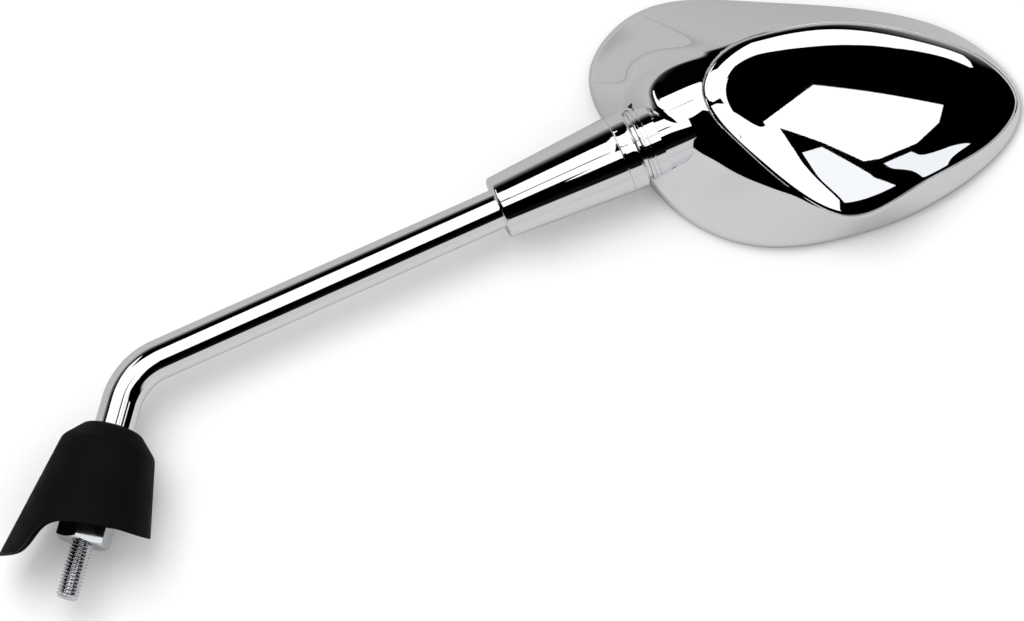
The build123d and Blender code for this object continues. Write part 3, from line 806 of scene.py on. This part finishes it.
def table_material():
    """White table: takes shadows, and carries painted shade that only the chrome sees, darker across
    the arm and most so on the far side; it is clear to all that is seen from underneath."""
    material = bpy.data.materials.new("white_table")
    material.use_nodes = True
    nodes = material.node_tree.nodes
    link = material.node_tree.links.new
    nodes.remove(nodes["Principled BSDF"])
    output = nodes["Material Output"]
    matt = nodes.new("ShaderNodeBsdfDiffuse")
    lift = nodes.new("ShaderNodeEmission")
    lift.inputs["Strength"].default_value = TABLE_LIFT
    lit = nodes.new("ShaderNodeAddShader")
    clear = nodes.new("ShaderNodeBsdfTransparent")
    path = nodes.new("ShaderNodeLightPath")
    side = nodes.new("ShaderNodeNewGeometry")
    across = nodes.new("ShaderNodeVectorMath")
    across.operation = "DOT_PRODUCT"
    across.inputs[1].default_value = across_arm
    # painted shade: the table's tone for mirror rays falls from the near to the far side across the
    # arm
    dim = nodes.new("ShaderNodeMapRange")
    dim.inputs["From Min"].default_value, dim.inputs["From Max"].default_value = TABLE_FADE
    dim.inputs["To Min"].default_value, dim.inputs["To Max"].default_value = TABLE_MIRRORED
    tone = nodes.new("ShaderNodeMix")
    tone.inputs["A"].default_value = 1.0
    shade = nodes.new("ShaderNodeMath")
    shade.operation = "MULTIPLY"
    shade.inputs[1].default_value = TABLE_WHITE
    under = nodes.new("ShaderNodeMath")
    under.operation = "MAXIMUM"
    under.use_clamp = True
    faced = nodes.new("ShaderNodeMixShader")
    link(side.outputs["Position"], across.inputs[0])
    link(across.outputs["Value"], dim.inputs["Value"])
    link(path.outputs["Is Glossy Ray"], tone.inputs["Factor"])
    link(dim.outputs["Result"], tone.inputs["B"])
    link(tone.outputs["Result"], shade.inputs[0])
    link(shade.outputs[0], matt.inputs["Color"])
    link(tone.outputs["Result"], lift.inputs["Color"])
    link(matt.outputs[0], lit.inputs[0])
    link(lift.outputs[0], lit.inputs[1])
    link(side.outputs["Backfacing"], under.inputs[0])
    link(path.outputs["Transparent Depth"], under.inputs[1])
    link(under.outputs[0], faced.inputs[0])
    link(lit.outputs[0], faced.inputs[1])
    link(clear.outputs[0], faced.inputs[2])
    link(faced.outputs[0], output.inputs["Surface"])
    return material


half = TABLE_SIZE / 2
stage_piece("table", plane_mesh("table", [
    (-half, TABLE_DEPTH, -half), (half, TABLE_DEPTH, -half),
    (half, TABLE_DEPTH, half), (-half, TABLE_DEPTH, half)]), table_material())


CARD_DISTANCE = 6.0
CARD_BRIGHT = 1.25
CARD_WARM = (1.0, 0.985, 0.96)


def card(name, corners, strength=CARD_BRIGHT, colour=(1, 1, 1)):
    """Bright card far above the table that shows in mirror reflections alone. Its corners are
    angles from straight up, along and across the housing, in degrees."""
    material = bpy.data.materials.new(name)
    material.use_nodes = True
    nodes = material.node_tree.nodes
    nodes.remove(nodes["Principled BSDF"])
    glow = nodes.new("ShaderNodeEmission")
    glow.inputs["Color"].default_value = (*colour, 1)
    glow.inputs["Strength"].default_value = strength
    material.node_tree.links.new(glow.outputs[0], nodes["Material Output"].inputs["Surface"])
    turn = head_frame.to_3x3()
    leans = [Vector((math.tan(math.radians(along)), math.tan(math.radians(across)), 1))
             for along, across in corners]
    places = [pivot + turn @ (lean * CARD_DISTANCE) for lean in leans]
    piece = stage_piece(name, plane_mesh(name, places), material)
    piece.visible_camera = False
    piece.visible_diffuse = False
    piece.visible_transmission = False
    piece.visible_shadow = False


card("window", [(-8, 7.5), (-3, 13), (0, 20), (2, 27), (12, 31), (19, 31), (25, 28), (30, 25.5),
                (36, 25), (41, 28), (46, 33), (54, 39.7), (57, 44.5), (62, 56), (65, 64), (40, 60),
                (0, 57), (-20, 36), (-34, 38), (-42, 57), (-54, 57), (-54, 8), (-20, 2)])
card("strip", [(-15, 1.5), (-8, 3), (-4, 4.2), (2.5, -13), (-1, -14.5), (-9, -18), (-22, -12),
               (-28, -4)], colour=CARD_WARM)
card("overhead", [(-4, 4.2), (-8.2, 7.6), (-3, 13), (0, 20), (2, 20), (2.6, 6), (3.2, 3.5), (6, 4.5),
                  (14, 7.6), (16.9, 9), (18.4, 9), (20.8, 5.4), (22.6, 2.4), (26.4, -4.5), (26, -14),
                  (14, -17), (2.5, -13)], colour=CARD_WARM)
card("ceiling_panel", [(16.4, 9.4), (23.5, 15.5), (41.8, 16.3), (41, 13.2), (37.7, 9), (32.5, 5.7),
                       (30.2, 5), (24.4, 7.2), (18.8, 8.7), (16.9, 8.6)])
card("near_panel", [(21.7, 5.4), (24.4, 6.5), (31, 3.2), (36.8, -1.8), (27.5, -5.2), (23.7, 2.3)],
     strength=1.1, colour=(0.97, 0.985, 1.0))
card("end_panel", [(33, 5), (36.9, 7.5), (44.5, 5), (55, -5.5), (50, -7), (41.9, -0.8)],
     strength=1.05, colour=(0.96, 0.98, 1.0))


def lamp(name, side, up, out, size, power):
    """Square soft lamp that shines at the middle of the picture and isn't mirrored."""
    light = bpy.data.lights.new(name, "AREA")
    light.size = size
    light.energy = power
    piece = bpy.data.objects.new(name, light)
    bpy.context.scene.collection.objects.link(piece)
    away = VIEW_RIGHT * side + VIEW_UP * up - VIEW_FORWARD * out
    piece.location = LOOK_AT + away
    piece.rotation_euler = away.to_track_quat("Z", "Y").to_euler()
    piece.visible_glossy = False


lamp("key_lamp", side=-0.42, up=0.5, out=1.15, size=0.8, power=13.0)

# The sky: even white light, but dark to the chrome, with haze low on the far side, a pale band low
# on the near side, and a soft fall of light below the table for views from underneath
SKY_LIGHT = 1.2

world = bpy.data.worlds.new("studio")
bpy.context.scene.world = world
world.use_nodes = True
sky = world.node_tree.nodes
link = world.node_tree.links.new
background = sky["Background"]
path = sky.new("ShaderNodeLightPath")
heading = sky.new("ShaderNodeTexCoord")


def sky_share(direction, low, high, least, most):
    """How far a view into the sky points along a direction, spread between two values."""
    share = sky.new("ShaderNodeVectorMath")
    share.operation = "DOT_PRODUCT"
    share.inputs[1].default_value = direction
    spread = sky.new("ShaderNodeMapRange")
    for name, value in (("From Min", low), ("From Max", high), ("To Min", least), ("To Max", most)):
        spread.inputs[name].default_value = value
    link(heading.outputs["Generated"], share.inputs[0])
    link(share.outputs["Value"], spread.inputs["Value"])
    return spread.outputs["Result"]


def sky_math(operation, first, second):
    """Output of one sum on two values of the sky."""
    node = sky.new("ShaderNodeMath")
    node.operation = operation
    link(first, node.inputs[0])
    link(second, node.inputs[1])
    return node.outputs[0]


haze = sky_share(out_of_back, low=0.45, high=0.08, least=0.02, most=0.75)
far_side = sky_math("MULTIPLY", sky_math("MULTIPLY", haze, haze),
                    sky_share(across_arm, low=0.2, high=0.5, least=0.0, most=1.0))
near_side = sky_math("MULTIPLY", sky_share(out_of_back, low=0.46, high=0.41, least=0.006, most=0.66),
                     sky_share(across_arm, low=-0.72, high=-0.8, least=0.0, most=1.0))
below = sky_math("MULTIPLY", sky_share(out_of_back, low=0.0, high=-0.5, least=0.0, most=0.9),
                 sky_share(across_arm, low=-0.6, high=0.5, least=0.45, most=1.0))
mirrored = sky_math("MAXIMUM", sky_math("MAXIMUM", far_side, near_side), below)
dark = sky.new("ShaderNodeMix")
dark.inputs["A"].default_value = SKY_LIGHT
link(path.outputs["Is Glossy Ray"], dark.inputs["Factor"])
link(mirrored, dark.inputs["B"])
link(sky_math("MAXIMUM", path.outputs["Is Camera Ray"], dark.outputs["Result"]),
     background.inputs["Strength"])
background.inputs["Color"].default_value = (1, 1, 1, 1)

camera = bpy.data.objects.new("camera", bpy.data.cameras.new("camera"))
bpy.context.scene.collection.objects.link(camera)
camera.data.lens = LENS
camera.data.sensor_width = SENSOR
camera.data.clip_end = CLIP_END
camera.location = LOOK_AT - VIEW_FORWARD * (FRAME_WIDTH * LENS / SENSOR)
camera.matrix_world = Matrix.Translation(camera.location) @ Matrix(
    (VIEW_RIGHT, VIEW_UP, -VIEW_FORWARD)).transposed().to_4x4()
bpy.context.scene.camera = camera
bpy.context.scene.view_settings.view_transform = "Standard"
